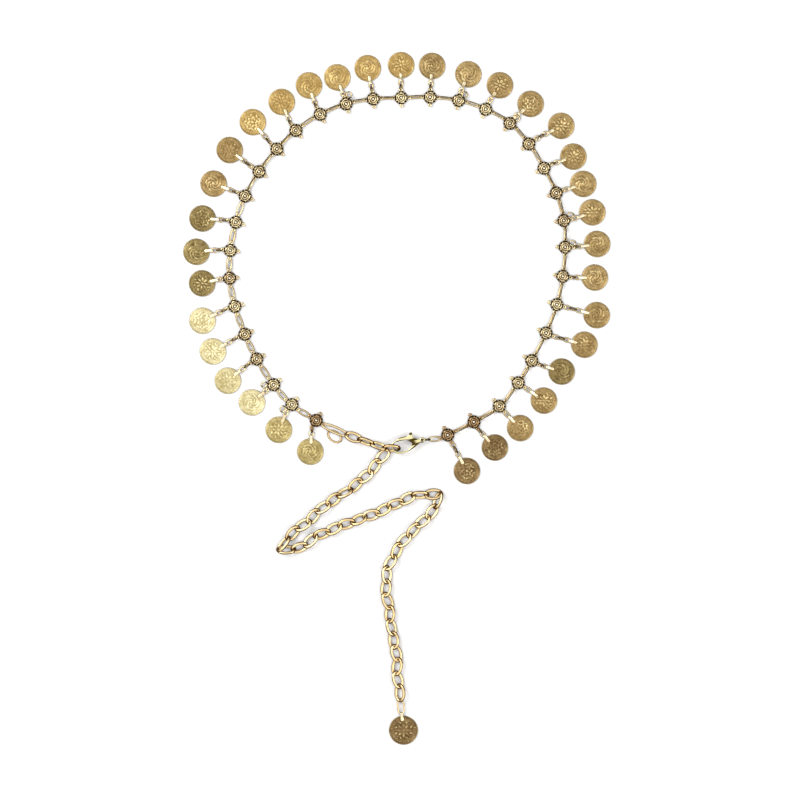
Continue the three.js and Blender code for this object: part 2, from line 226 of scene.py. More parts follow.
def colour(red, green, blue):
    """A display colour, 0 to 255, as the linear one that a shader takes."""
    line = [c / 255 for c in (red, green, blue)]
    return (*(c / 12.92 if c < 0.04045 else ((c + 0.055) / 1.055) ** 2.4 for c in line), 1)


def store(made, key, numbers):
    """Stores one number per vertex for the material."""
    kept = made.data.attributes.new(key, "FLOAT", "POINT")
    kept.data.foreach_set("value", np.ascontiguousarray(numbers, np.float32).reshape(-1))


def mesh_object(name, vertices, faces, material, values=None):
    """A smooth-shaded mesh object from millimetres, with one number per vertex for each named value."""
    mesh = bpy.data.meshes.new(name)
    mesh.from_pydata((np.asarray(vertices, float) * MM).tolist(), [], faces)
    mesh.polygons.foreach_set("use_smooth", [True] * len(mesh.polygons))
    mesh.materials.append(material)
    mesh.update()
    made = bpy.data.objects.new(name, mesh)
    scene.collection.objects.link(made)
    for key, numbers in (values or {}).items():
        store(made, key, numbers)
    return made


table_graph = Graph("white table")
table_paint = table_graph.finish(
    Base_Color=table_graph.mix(table_graph.noise(40), colour(246, 246, 246), colour(249, 249, 249)),
    Roughness=0.9,
)
TABLE_HALF, TABLE_TOP = 4000, -0.15
table = mesh_object(
    "table",
    [(x * TABLE_HALF, y * TABLE_HALF, TABLE_TOP) for x, y in ((-1, -1), (1, -1), (1, 1), (-1, 1))],
    [(0, 1, 2, 3)],
    table_paint,
)

# ---- Rosettes ----
# Low castings of brass with an antique gold plate: a bead in a round of petals, a second round, a
# beaded edge, and four corner loops that the links are threaded through. Dark brown is left in the
# grooves. The casting's side and the loops' sides are painted dark as shade, and the bead is painted
# near white as a highlight.

RING_ROUTE = [  # middle line of the rosettes: number, x, y
    (1, -53.3, -13.8),
    (2, -69.3, -3.4),
    (4, -92.5, 26.7),
    (7, -110.4, 80.0),
    (10, -100.2, 134.2),
    (13, -66.7, 177.5),
    (15, -33.6, 195.0),
    (17, 2.8, 199.1),
    (19, 40.7, 197.3),
    (21, 74.5, 182.2),
    (23, 97.0, 152.6),
    (25, 110.1, 118.1),
    (28, 105.5, 62.6),
    (31, 80.0, 11.0),
    (32, 67.5, -4.4),
    (33, 50.8, -14.8),
    (34, 33.5, -23.4),
]
ROSETTE_COUNT = 34
LOOP_REACH = 5.15  # from a rosette's middle to where a link is threaded
LOOP = {"round": 0.85, "wire": 0.58, "height": 2.15}
BEAD, CORNER_SWELL, EDGE_SWELL = 0.92, 0.095, 0.03
INNER_ROUND = {"height": 0.6, "radius": 1.7, "half_width": 0.5}
OUTER_ROUND = {"height": 0.58, "radius": 2.9, "half_width": 0.56}
EDGE_ROUND = {"height": 0.5, "radius": 3.9, "half_width": 0.42}
ROSETTE = {"edge": 4.32, "crown": 2.78, "base": 1.75, "slope": 0.12, "foot": 0.02}


def curve_through(points):
    """The centripetal Catmull-Rom curve through the points, as a function of 0 to 1."""
    p = [Vector(q) for q in points]
    p = [2 * p[0] - p[1], *p, 2 * p[-1] - p[-2]]

    def at(t):
        whole = min(int(t * (len(points) - 1)), len(points) - 2)
        w = t * (len(points) - 1) - whole
        a, b, c, d = p[whole : whole + 4]
        da, db, dc = ((b - a).length ** 0.5, (c - b).length ** 0.5, (d - c).length ** 0.5)
        out = ((b - a) / da - (c - a) / (da + db) + (c - b) / db) * db
        back = ((c - b) / db - (d - b) / (db + dc) + (d - c) / dc) * db
        return b + out * w + (3 * (c - b) - 2 * out - back) * w**2 + (2 * (b - c) + out + back) * w**3

    return at


def rosette_centre(number):
    row = max(1, next(k for k, (known, _, _) in enumerate(RING_ROUTE) if known >= number))
    low, high = RING_ROUTE[row - 1][0], RING_ROUTE[row][0]
    return ring_line((row - 1 + (number - low) / (high - low)) / (len(RING_ROUTE) - 1))


ring_line = curve_through([Vector((x, y, 0)) + SHIFT for _, x, y in RING_ROUTE])
centres = [rosette_centre(number) for number in range(1, ROSETTE_COUNT + 1)]
headings = []
for i in range(ROSETTE_COUNT):
    way = centres[min(i + 1, ROSETTE_COUNT - 1)] - centres[max(i - 1, 0)]
    headings.append(math.atan2(way.y, way.x))


def loop_of(i, turn, height):
    """Where a link is threaded through rosette i, turned from the way along the ring, in degrees."""
    angle = headings[i] + math.radians(turn)
    return centres[i] + Vector((LOOP_REACH * math.cos(angle), LOOP_REACH * math.sin(angle), height))


NEXT, OUTWARD, BACK = 0, 90, 180

antique = Graph("antique gold")
grime_and_shade = antique.noise(900, 4)
# Low relief values give dark brown: patina in the grooves, and painted shade on the casting's side and on
# the loops' sides.
raised = (antique.attribute("relief") + (grime_and_shade - 0.5) * 0.45).between(0.24, 0.8)
tone = antique.attribute("tone")
# Painted highlight: the middle bead, where the relief value is highest, is painted near white.
bead_highlight = antique.attribute("relief").between(1.05, 1.35)
plating = antique.mix(tone, colour(180, 148, 108), colour(240, 222, 176))
plating_and_bead_highlight = antique.mix(bead_highlight, plating, colour(255, 252, 238))
antique_gold = antique.finish(
    Base_Color=antique.mix(raised, colour(54, 38, 17), plating_and_bead_highlight),
    Metallic=1.0,
    Roughness=0.55 - raised * 0.25 + grime_and_shade * 0.06,
    Normal=antique.bump(antique.noise(2600, 2), 0.00006, 0.5),
)


def ridge(distance, half_width):
    """A rounded ridge, 1 on its line and 0 at its foot."""
    return np.sqrt(np.clip(1 - (distance / half_width) ** 2, 0, 1))


def round_ridge(r, sizes, wave=0):
    """A ridge that runs round the middle at its own radius, waved in and out."""
    return sizes["height"] * ridge(r - sizes["radius"] - wave, sizes["half_width"])


def level_ring(radius, height, angles):
    """A level ring of points about the Z axis."""
    return np.stack([radius * np.cos(angles), radius * np.sin(angles), np.full(len(angles), height)], -1)


def rosette_template():
    """One rosette about the origin: its turned and petalled top, its side, its foot and four loops."""
    sectors, edge = 64, ROSETTE["edge"]
    radii = np.concatenate([np.linspace(0.22, 0.88, 4), np.linspace(1.05, 4.12, 20), [edge]])
    angles = np.arange(sectors) * 2 * np.pi / sectors
    r, a = np.meshgrid(radii, angles, indexing="ij")
    base = ROSETTE["base"] - ROSETTE["slope"] * r
    bead = np.where(r < BEAD - 0.02, 1.05 * ridge(r, BEAD), 0)
    inner = round_ridge(r, INNER_ROUND, 0.12 * np.sin(3 * a))
    outer = round_ridge(r, OUTER_ROUND, 0.13 * np.sin(5 * a + 1)) * (0.84 + 0.16 * np.cos(5 * a))
    beads = round_ridge(r, EDGE_ROUND) * (0.55 + 0.45 * np.cos(12 * a))
    lift = bead + inner + outer + beads
    z = base + lift
    scallop = 1 + np.clip((r - 1.4) / 2.6, 0, 1) * (
        CORNER_SWELL * np.cos(4 * a) + EDGE_SWELL * np.cos(12 * a)
    )
    top = np.stack([r * scallop * np.cos(a), r * scallop * np.sin(a), z], -1).reshape(-1, 3)
    # The bead gets 0.5 more and the crown 1.5, which paints the bead's highlight near white.
    relief = np.clip(1.9 * lift - 0.2, 0, 1) + np.where(r < 0.8, 0.5, 0)
    foot = ROSETTE["foot"]
    vertices = [np.array([[0, 0, ROSETTE["crown"]]]), top]
    values = [np.array([1.5]), relief.reshape(-1)]
    # Painted shade: the side and foot rings get low values, so the casting's side is dark.
    for radius, height, shade in ((edge * 1.01, 0.9, 0.2), (4.2, 0.35, 0.1), (4.0, foot, 0.0)):
        vertices.append(level_ring(radius, height, angles))
        values.append(np.full(sectors, shade))
    vertices.append(np.array([[0, 0, foot]]))
    values.append(np.array([0.0]))
    faces = ring_faces(len(radii) + 3, sectors)
    vertices, values = np.concatenate(vertices), np.concatenate(values)
    for quarter in range(4):
        turn = quarter * np.pi / 2
        loop, loop_faces = torus(LOOP["round"], LOOP["wire"], 14, 8)
        # Painted shade: each loop is darker on its sides and underside, and where it passes under the
        # body's edge.
        shades = np.clip(1.5 * loop[:, 2] / LOOP["wire"] - 0.2, 0, 1)
        out = loop[:, 0] * math.cos(turn) + loop[:, 1] * math.sin(turn)
        shades = shades * np.clip(1.3 + out, 0.1, 1)
        faces += [tuple(k + len(vertices) for k in face) for face in loop_faces]
        middle = np.array([LOOP_REACH * np.cos(turn), LOOP_REACH * np.sin(turn), LOOP["height"]])
        vertices = np.concatenate([vertices, loop + middle])
        values = np.concatenate([values, shades])
    return vertices, faces, values


def ring_faces(rings, sectors):
    """Faces of rings of points about an axis, with a point before the first and one after the last."""
    faces = []
    for k in range(sectors):
        n = (k + 1) % sectors
        faces.append((0, 1 + k, 1 + n))
        for ring in range(rings - 1):
            low, high = 1 + ring * sectors, 1 + (ring + 1) * sectors
            faces.append((low + k, high + k, high + n, low + n))
        last = 1 + (rings - 1) * sectors
        faces.append((last + k, last + sectors, last + n))
    return faces


def torus(round_radius, wire_radius, steps, sides):
    a, b = np.meshgrid(
        np.arange(steps) * 2 * np.pi / steps, np.arange(sides) * 2 * np.pi / sides, indexing="ij"
    )
    reach = round_radius + wire_radius * np.cos(b)
    points = np.stack([reach * np.cos(a), reach * np.sin(a), wire_radius * np.sin(b)], -1).reshape(-1, 3)
    faces = [
        (
            i * sides + j,
            (i + 1) % steps * sides + j,
            (i + 1) % steps * sides + (j + 1) % sides,
            i * sides + (j + 1) % sides,
        )
        for i in range(steps)
        for j in range(sides)
    ]
    return points, faces


def node_tree(name, sockets):
    """A Geometry Nodes tree with the given named inputs, its input node and its output node."""
    tree = bpy.data.node_groups.new(name, "GeometryNodeTree")
    tree.interface.new_socket("Geometry", in_out="INPUT", socket_type="NodeSocketGeometry")
    tree.interface.new_socket("Geometry", in_out="OUTPUT", socket_type="NodeSocketGeometry")
    for label, kind in sockets.items():
        tree.interface.new_socket(label, in_out="INPUT", socket_type="NodeSocket" + kind)
    return tree, tree.nodes.new("NodeGroupInput"), tree.nodes.new("NodeGroupOutput")


def points_object(name, places, turns, tones, **vectors):
    """Loose points in millimetres that hold each copy's turn and tone, and more vectors by name."""
    mesh = bpy.data.meshes.new(name)
    mesh.from_pydata([tuple(Vector(p) * MM) for p in places], [], [])
    columns = {"turn": turns, **vectors}
    for key, rows in columns.items():
        flat = np.array([tuple(row) for row in rows], np.float32).reshape(-1)
        mesh.attributes.new(key, "FLOAT_VECTOR", "POINT").data.foreach_set("vector", flat)
    made = bpy.data.objects.new(name, mesh)
    scene.collection.objects.link(made)
    store(made, "tone", tones)
    return made


def grown_by(points, tree, inputs):
    """The plain mesh object that the tree makes of the points; the points are dropped."""
    modifier = points.modifiers.new("nodes", "NODES")
    modifier.node_group = tree
    for item in tree.interface.items_tree:
        if item.in_out == "INPUT" and item.name in inputs:
            modifier[item.identifier] = inputs[item.name]
    evaluated = points.evaluated_get(bpy.context.evaluated_depsgraph_get())
    mesh = bpy.data.meshes.new_from_object(evaluated)
    name = points.name
    bpy.data.objects.remove(points)
    mesh.name = name
    made = bpy.data.objects.new(name, mesh)
    scene.collection.objects.link(made)
    return made


copies_sockets = {"Template": "Object", "Material": "Material"}
copies_tree, copies_in, copies_out = node_tree("Turned copies", copies_sockets)
copy_of = copies_tree.nodes.new("GeometryNodeObjectInfo")
copy_turn = copies_tree.nodes.new("GeometryNodeInputNamedAttribute")
copy_turn.data_type = "FLOAT_VECTOR"
copy_turn.inputs["Name"].default_value = "turn"
copy_euler = copies_tree.nodes.new("FunctionNodeEulerToRotation")
copy_spread = copies_tree.nodes.new("GeometryNodeInstanceOnPoints")
copy_real = copies_tree.nodes.new("GeometryNodeRealizeInstances")
copy_paint = copies_tree.nodes.new("GeometryNodeSetMaterial")
link_nodes(
    copies_tree,
    [
        (copies_in.outputs["Template"], copy_of.inputs["Object"]),
        (copies_in.outputs["Geometry"], copy_spread.inputs["Points"]),
        (copy_of.outputs["Geometry"], copy_spread.inputs["Instance"]),
        (copy_turn.outputs["Attribute"], copy_euler.inputs["Euler"]),
        (copy_euler.outputs["Rotation"], copy_spread.inputs["Rotation"]),
        (copy_spread.outputs["Instances"], copy_real.inputs["Geometry"]),
        (copy_real.outputs["Geometry"], copy_paint.inputs["Geometry"]),
        (copies_in.outputs["Material"], copy_paint.inputs["Material"]),
        (copy_paint.outputs["Geometry"], copies_out.inputs["Geometry"]),
    ],
)

chance = np.random.default_rng(7)
template_vertices, template_faces, template_relief_and_shade = rosette_template()
template = mesh_object(
    "rosette template", template_vertices, template_faces, antique_gold, {"relief": template_relief_and_shade}
)
rosette_tones = chance.uniform(0.5, 1, ROSETTE_COUNT)
rosette_tones[[0, -2, -1]] = (0.1, 0.0, 0.05)
rosette_points = points_object(
    "rosettes", centres, [(0, 0, heading) for heading in headings], rosette_tones
)
rosettes = grown_by(rosette_points, copies_tree, {"Template": template, "Material": antique_gold})
bpy.data.objects.remove(template)
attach(rosettes, "belt")
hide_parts(*[f"rosettes_{section:02d}" for section in range(1, ROSETTE_COUNT // 2 + 1)])

# ---- Oval links between the rosettes ----
# Small ovals of drawn brass wire, pale gold, one through the loops of each two neighbours. The first
# ones lie nearly flat and the rest tipped, and their sides and undersides are painted dark as shade.

wire_tree, wire_in, wire_out = node_tree(
    "Wire rings",
    {"Wire radius": "Float", "Steps": "Int", "Sides": "Int", "Material": "Material"},
)
ring_curve = wire_tree.nodes.new("GeometryNodeCurvePrimitiveCircle")
ring_curve.inputs["Radius"].default_value = 1.0
ring_turn = wire_tree.nodes.new("GeometryNodeInputNamedAttribute")
ring_half = wire_tree.nodes.new("GeometryNodeInputNamedAttribute")
for node, key in ((ring_turn, "turn"), (ring_half, "half")):
    node.data_type = "FLOAT_VECTOR"
    node.inputs["Name"].default_value = key
ring_euler = wire_tree.nodes.new("FunctionNodeEulerToRotation")
ring_spread = wire_tree.nodes.new("GeometryNodeInstanceOnPoints")
ring_real = wire_tree.nodes.new("GeometryNodeRealizeInstances")
ring_section = wire_tree.nodes.new("GeometryNodeCurvePrimitiveCircle")
ring_sweep = wire_tree.nodes.new("GeometryNodeCurveToMesh")
ring_smooth = wire_tree.nodes.new("GeometryNodeSetShadeSmooth")
ring_whole = wire_tree.nodes.new("GeometryNodeRealizeInstances")
ring_paint = wire_tree.nodes.new("GeometryNodeSetMaterial")
link_nodes(
    wire_tree,
    [
        (wire_in.outputs["Steps"], ring_curve.inputs["Resolution"]),
        (wire_in.outputs["Geometry"], ring_spread.inputs["Points"]),
        (ring_curve.outputs["Curve"], ring_spread.inputs["Instance"]),
        (ring_turn.outputs["Attribute"], ring_euler.inputs["Euler"]),
        (ring_euler.outputs["Rotation"], ring_spread.inputs["Rotation"]),
        (ring_half.outputs["Attribute"], ring_spread.inputs["Scale"]),
        (ring_spread.outputs["Instances"], ring_real.inputs["Geometry"]),
        (ring_real.outputs["Geometry"], ring_sweep.inputs["Curve"]),
        (wire_in.outputs["Sides"], ring_section.inputs["Resolution"]),
        (wire_in.outputs["Wire radius"], ring_section.inputs["Radius"]),
        (ring_section.outputs["Curve"], ring_sweep.inputs["Profile Curve"]),
        (ring_sweep.outputs["Mesh"], ring_smooth.inputs["Geometry"]),
        (ring_smooth.outputs["Geometry"], ring_whole.inputs["Geometry"]),
        (ring_whole.outputs["Geometry"], ring_paint.inputs["Geometry"]),
        (wire_in.outputs["Material"], ring_paint.inputs["Material"]),
        (ring_paint.outputs["Geometry"], wire_out.inputs["Geometry"]),
    ],
)


def between(start, end, roll):
    """The place of a link from one joint to the next, rolled about the line between them."""
    along = (end - start).normalized()
    side = Vector((0, 0, 1)).cross(along).normalized()
    up = along.cross(side)
    turn = Matrix((along, side, up)).transposed().to_4x4()
    return Matrix.Translation((start + end) / 2) @ turn @ Matrix.Rotation(math.radians(roll), 4, "X")


def ring_row(start, end, width, wire, roll, overrun=None):
    """A row for wire_rings: a ring whose inner ends meet the joints, unless told to overrun them."""
    place = between(start, end, roll)
    half_length = (end - start).length / 2 + (wire / 2 if overrun is None else overrun)
    return place.translation, place.to_euler(), Vector((half_length, (width - wire) / 2, 1)) * MM


def wire_rings(name, rows, wire, material, steps, sides):
    """One object of all the rings in the rows, of one wire, with the numbers stored that its painted
    light and shade follow.
    """
    places, turns, halves = zip(*rows)
    halves = [Vector((half.x, half.y, MM)) for half in halves]
    tones = chance.uniform(0, 1, len(rows))
    middles = points_object(name, places, turns, tones, half=halves)
    inputs = {"Wire radius": wire / 2 * MM, "Steps": steps, "Sides": sides, "Material": material}
    made = grown_by(middles, wire_tree, inputs)
    store_up(made)
    corners = np.zeros(len(made.data.vertices) * 3)
    made.data.vertices.foreach_get("co", corners)
    offsets = corners.reshape(len(rows), -1, 3) - np.array([tuple(p * MM) for p in places])[:, None, :]
    shares = []
    for axis in (0, 1):
        ways = np.array([tuple(turn.to_matrix().col[axis]) for turn in turns])[:, None, :]
        reach = np.array([half[axis] for half in halves])[:, None]
        shares.append((offsets * ways).sum(2) / reach)
    along, across = shares
    store(made, "tip", np.abs(along))
    store(made, "outside", (np.hypot(along, across) - 1) * reach / (wire / 2 * MM))
    return made


def store_up(made):
    """Stores how far each vertex faces up, so that the painted top light and side shade can follow it."""
    normals = np.zeros(len(made.data.vertices) * 3, np.float32)
    made.data.vertices.foreach_get("normal", normals)
    store(made, "up", normals[2::3])


def wire_metal(name, bright, warm, side_shade, roughness=0.26, lit_above=0.3):
    """Plated wire, warmer by the piece: painted bright on top as painted light, and painted dark brown as
    shade where it faces up less than the given share, at its ends and on its outer side.
    """
    graph = Graph(name)
    speckle = graph.noise(1500, 3)
    at_ends = graph.attribute("tip").between(0.74, 1.02)
    on_sides = graph.attribute("outside").between(0.2, 1.0)
    # Painted shade at the ends, where links meet, and on the outer side of each ring.
    shade_at_ends_and_sides = at_ends * 0.5 + on_sides * 0.5
    # Painted light: bright where the wire faces up, dark brown shade on its sides; the speckle is real
    # mottling.
    brightened = (graph.attribute("up") - shade_at_ends_and_sides + (speckle - 0.5) * 0.3).between(lit_above, lit_above + 0.5)
    graph.finish(
        Base_Color=graph.mix(brightened, side_shade, graph.mix(graph.attribute("tone"), warm, bright)),
        Metallic=1.0,
        Roughness=roughness + (1 - brightened) * 0.2 + speckle * 0.06,
        Normal=graph.bump(graph.noise(3200, 2), 0.00004, 0.5),
    )
    return graph.material


pale_wire = wire_metal(
    "pale gold wire", colour(243, 222, 174), colour(224, 194, 138), colour(48, 32, 13), lit_above=0.36
)

OVAL = {"wire": 1.15, "width": 4.2, "flat_roll": 12, "tipped_roll": 66, "lowest": 1.5, "gap": 0.03}
LAST_FLAT_OVAL = 9


def resting_height(link, roll):
    """How high the middle of a link lies that rests on the table, rolled by this much."""
    lean = (link["width"] - link["wire"]) / 2 * abs(math.sin(math.radians(roll)))
    return lean + link["wire"] / 2 + link["gap"]


oval_rows = []
for i in range(ROSETTE_COUNT - 1):
    roll = OVAL["flat_roll"] if i < LAST_FLAT_OVAL else OVAL["tipped_roll"]
    roll += float(chance.uniform(-10, 10))
    height = max(OVAL["lowest"], resting_height(OVAL, roll))
    start, end = loop_of(i, NEXT, height), loop_of(i + 1, BACK, height)
    oval_rows.append(ring_row(start, end, OVAL["width"], OVAL["wire"], roll))
ovals = wire_rings("oval_links", oval_rows, OVAL["wire"], pale_wire, steps=16, sides=7)
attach(ovals, "belt")

# ---- Drops ----
# The little jump rings that hang each coin below its rosette: one, two or three of them, lying in
# turn flat and on edge, and at seven drops a spare one folded to the side. Pale gold wire, painted
# darker on the rings that stand on edge, as painted shade.

joints = {joint["name"]: joint for joint in frame["joints"]}


def pivot_and_way(node):
    """A coin's pivot, and the level direction from it in which the coin lies."""
    joint = joints[f"{node}_swing"]
    return Vector(joint["pos_m"]) / MM, (-Vector(joint["axis"])).cross(Vector((0, 0, 1))).normalized()


coin_nodes = [f"coin_{number:02d}" for number in range(1, ROSETTE_COUNT + 1)]
pivots = [pivot_and_way(node)[0] for node in coin_nodes]

DROP = {"wire": 1.0, "width": 3.6, "height": 1.6, "pitch": 3.5, "edge_roll": 60}
SPARE = {"length": 4.0, "width": 4.5, "height": 2.1, "roll": 8}
FOLDED = [  # drop, how far its spare ring lies to its left
    (2, -2.9),
    (3, -4.0),
    (15, -3.6),
    (19, -3.3),
    (21, -1.5),
    (25, 2.7),
    (26, 2.9),
]
# Painted shade: the rings that stand on edge get a darker copy of the pale wire.
shaded_wire = wire_metal(
    "dull gold wire", colour(214, 184, 128), colour(178, 146, 94), colour(44, 30, 12), lit_above=0.4
)
flat_rows, edge_rows = [], []
for i in range(ROSETTE_COUNT):
    root = loop_of(i, OUTWARD, DROP["height"])
    whole = pivots[i] - root
    count = max(1, round(whole.length / DROP["pitch"]))
    for k in range(count):
        on_edge = (count - 1 - k) % 2 == 1
        start, end = root + whole * (k / count), root + whole * ((k + 1) / count)
        roll = DROP["edge_roll"] if on_edge else 0
        row = ring_row(start, end, DROP["width"], DROP["wire"], roll, DROP["wire"] * 0.4)
        (edge_rows if on_edge else flat_rows).append(row)
for number, aside in FOLDED:
    root = loop_of(number - 1, OUTWARD, SPARE["height"])
    way = (pivots[number - 1] - root).normalized()
    middle = root + way * (1.2 - abs(aside) * 0.4) + Vector((0, 0, 1)).cross(way) * aside
    half = way * SPARE["length"] / 2
    row = ring_row(middle - half, middle + half, SPARE["width"], DROP["wire"], SPARE["roll"], 0)
    flat_rows.append(row)
drop_kinds = [("drop_links", flat_rows, pale_wire), ("drop_edge_links", edge_rows, shaded_wire)]
for name, rows, finish in drop_kinds:
    drops = wire_rings(name, rows, DROP["wire"], finish, steps=14, sides=6)
    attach(drops, "belt")

# ---- Coins ----
# Thin struck coins of brass sheet with a raised rim, a ring of pellets and a worn ornament. They are
# plated pale at one end of the belt and browner at the other. Each turns on the last ring of its drop.

COIN = {"radius": 8.7, "thickness": 1.1, "rim": 0.95, "sunk": 0.35, "relief": 0.24, "foot": 0.02}
RIM_SLOPE = 0.25
END_COIN = {"radius": 9.5, "design": "flower", "spin": 0.7, "wear": 0.4}
COIN_START = 1.5  # from the pivot to the coin's edge
PIVOT_HEIGHT = 1.6
COIN_TONES = {  # light metal, metal left in the recesses
    "pale": (colour(246, 236, 194), colour(168, 152, 98)),
    "straw": (colour(220, 202, 146), colour(132, 114, 62)),
    "olive": (colour(182, 162, 110), colour(88, 70, 36)),
    "honey": (colour(218, 190, 128), colour(140, 110, 58)),
    "tan": (colour(200, 174, 122), colour(114, 88, 48)),
    "umber": (colour(170, 144, 100), colour(84, 62, 34)),
}
TONE_RUNS = [  # last coin of the run, its tone
    (2, "straw"),
    (6, "pale"),
    (9, "olive"),
    (11, "tan"),
    (17, "honey"),
    (29, "tan"),
    (30, "olive"),
    (32, "tan"),
    (34, "umber"),
]


def coin_metal(name, light, dark):
    graph = Graph(name)
    cloud = graph.noise(230, 4)
    grain = graph.noise(950, 4)
    relief = graph.attribute("relief")
    raised = (relief * 0.5 + cloud * 0.85 + (grain - 0.5) * 0.9 - 0.07).between(0.0, 1.0)
    rubbed = (relief + graph.noise(700, 2) * 1.6 - 1.0).between(0.4, 0.7)
    brightened = graph.mix(rubbed * 0.6, graph.mix(raised, dark, light), colour(250, 234, 178))
    face = graph.mix(graph.attribute("tone") * 0.3, brightened, dark)
    edge = graph.mix(grain, colour(92, 80, 54), colour(140, 124, 90))
    graph.finish(
        Base_Color=graph.mix(graph.attribute("rim") * 0.6, face, edge),
        Metallic=1.0,
        Roughness=0.46 - raised * 0.12 + grain * 0.08,
        Normal=graph.bump(graph.noise(1500, 3) * 0.6 + graph.noise(380, 3), 0.00016, 0.8),
    )
    return graph.material


coin_metals = {tone: coin_metal(f"coin gold {tone}", *pair) for tone, pair in COIN_TONES.items()}


DESIGNS = ("scrolls", "wreath", "flower")
PELLETS = {"height": 0.9, "radius": 0.82, "half_width": 0.05}  # as shares of the coin's radius
FIELD_LINE = {"height": 0.6, "radius": 0.72, "half_width": 0.035}
SCROLL = {"inner": 0.16, "outer": 0.62, "turns": 0.4, "half_width": 0.06}


def leaf(u, v, reach, angle, lean, length, width):
    """A pointed leaf, 1 at its middle and 0 at its outline, that leans from the way out to its middle."""
    x, y = u - reach * math.cos(angle), v - reach * math.sin(angle)
    c, s = math.cos(angle + lean), math.sin(angle + lean)
    return ridge(np.hypot((x * c + y * s) / length, (y * c - x * s) / width), 1.0)


def scroll(u, v, turn):
    """The ridge of one scroll that unwinds from the middle."""
    sweep = 2 * np.pi * SCROLL["turns"]
    a = np.mod(np.arctan2(v, u) - turn, 2 * np.pi)
    line = SCROLL["inner"] + (SCROLL["outer"] - SCROLL["inner"]) * a / sweep
    return np.where(a < sweep, ridge(np.hypot(u, v) - line, SCROLL["half_width"]), 0)


def ornament(u, v, design):
    """The struck ornament of one design over the coin's face, 0 to 1, inside its pellets and its line."""
    r, a = np.hypot(u, v), np.arctan2(v, u)
    pellets = round_ridge(r, PELLETS) * (0.2 + 0.8 * np.cos(16 * a) ** 2)
    parts = [pellets, round_ridge(r, FIELD_LINE)]
    if design == "scrolls":
        parts += [0.8 * scroll(u, v, k * 2 * np.pi / 5) for k in range(5)]
        parts += [leaf(u, v, 0.5, t, 1.2, 0.16, 0.06) for t in (0.4, 1.4, 2.5, 3.6, 4.6, 5.7)]
        parts.append(ridge(r, 0.12))
    elif design == "wreath":
        for k in range(14):
            parts.append(leaf(u, v, 0.54, 0.45 + k * 0.415, 0.8 if k % 2 else 2.2, 0.17, 0.07))
        parts.append(ridge(r - 0.3 - 0.07 * np.cos(6 * a), 0.07))
        parts.append(ridge(r, 0.13))
    else:
        for k in range(8):
            t = k * np.pi / 4
            parts.append(leaf(u, v, 0.32, t, 0, 0.17, 0.075))
            parts.append(leaf(u, v, 0.57, t + 0.39, 0.71, 0.13, 0.06))
            parts.append(0.8 * ridge(np.hypot(u - 0.57 * math.cos(t), v - 0.57 * math.sin(t)), 0.05))
        parts.append(ridge(r, 0.1))
    return np.clip(np.max(parts, 0), 0, 1)


def coin_shape(radius, design, spin, wear):
    """A coin about its pivot, reaching out along X: top with its relief, edge and plain back."""
    sectors = 96
    rim_foot = radius - COIN["rim"]
    on_rim_radii = [rim_foot + RIM_SLOPE, radius - 0.45, radius - 0.12]
    radii = np.concatenate([np.linspace(0.35, rim_foot, 30), on_rim_radii])
    angles = np.arange(sectors) * 2 * np.pi / sectors
    r, a = np.meshgrid(radii, angles, indexing="ij")
    u, v = r / radius * np.cos(a - spin), r / radius * np.sin(a - spin)
    struck = ornament(u, v, design)
    struck = struck * (1 - wear * (0.5 + 0.5 * np.sin(3.1 * u + 1.3 + spin) * np.cos(2.7 * v - 0.4)))
    on_rim = np.clip((r - rim_foot) / RIM_SLOPE, 0, 1)
    field = COIN["thickness"] - COIN["sunk"]
    drop_off = np.where(r > radius - 0.2, 0.06, 0)
    z = field + COIN["relief"] * struck * (1 - on_rim) + COIN["sunk"] * on_rim - drop_off
    top = np.stack([r * np.cos(a), r * np.sin(a), z], -1).reshape(-1, 3)
    middle = struck[0].mean()
    vertices = [np.array([[0, 0, field + COIN["relief"] * middle]]), top]
    relief = [np.array([middle]), np.maximum(struck, 0.4 * on_rim).reshape(-1)]
    rims = [np.array([0.0]), np.where(r > radius - 0.3, 1.0, 0).reshape(-1)]
    for reach, height in ((radius, 0.92), (radius, 0.14), (radius - 0.1, COIN["foot"])):
        vertices.append(level_ring(reach, height, angles))
        relief.append(np.full(sectors, 0.2))
        rims.append(np.ones(sectors))
    vertices.append(np.array([[0, 0, COIN["foot"]]]))
    relief.append(np.array([0.2]))
    rims.append(np.array([0.0]))
    faces = ring_faces(len(radii) + 3, sectors)
    vertices = np.concatenate(vertices) + np.array([COIN_START + radius, 0, -PIVOT_HEIGHT])
    return vertices, faces, {"relief": np.concatenate(relief), "rim": np.concatenate(rims)}


def turned_to(vertices, pivot, way):
    """Points made along X about the origin, moved to a pivot and turned to a level direction."""
    x, y = way.x, way.y
    turn = np.array([[x, -y, 0], [y, x, 0], [0, 0, 1]])
    return vertices @ turn.T + np.array(pivot)


def place_coin(node, radius, metal, design, spin, wear):
    pivot, way = pivot_and_way(node)
    vertices, faces, values = coin_shape(radius, design, spin, wear)
    values["tone"] = np.full(len(vertices), chance.uniform(0, 1))
    made = mesh_object(f"{node}_face", turned_to(vertices, pivot, way), faces, metal, values)
    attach(made, f"{node}_body")
    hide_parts(node)


for i, node in enumerate(coin_nodes):
    metal = coin_metals[next(tone for last, tone in TONE_RUNS if i + 1 <= last)]
    design = DESIGNS[int(chance.integers(0, 3))]
    spin = float(chance.uniform(0, 2 * math.pi))
    wear = float(chance.uniform(0.35, 0.8))
    place_coin(node, COIN["radius"], metal, design, spin, wear)
place_coin("end_coin", metal=coin_metals["umber"], **END_COIN)

# ---- Bails ----
# A strip of thin pale brass, folded round the last ring of the drop and pinched over the coin's rim.
# Its leaf narrows to a round tip on the coin's face.

BAIL = {"thick": 0.34, "bore": 0.62, "eye_width": 1.8, "leaf_width": 2.2, "end": 5.0, "corner": 0.55}
bail_metal = wire_metal(
    "bail gold", colour(252, 238, 202), colour(238, 216, 172), colour(104, 78, 40), roughness=0.24
)


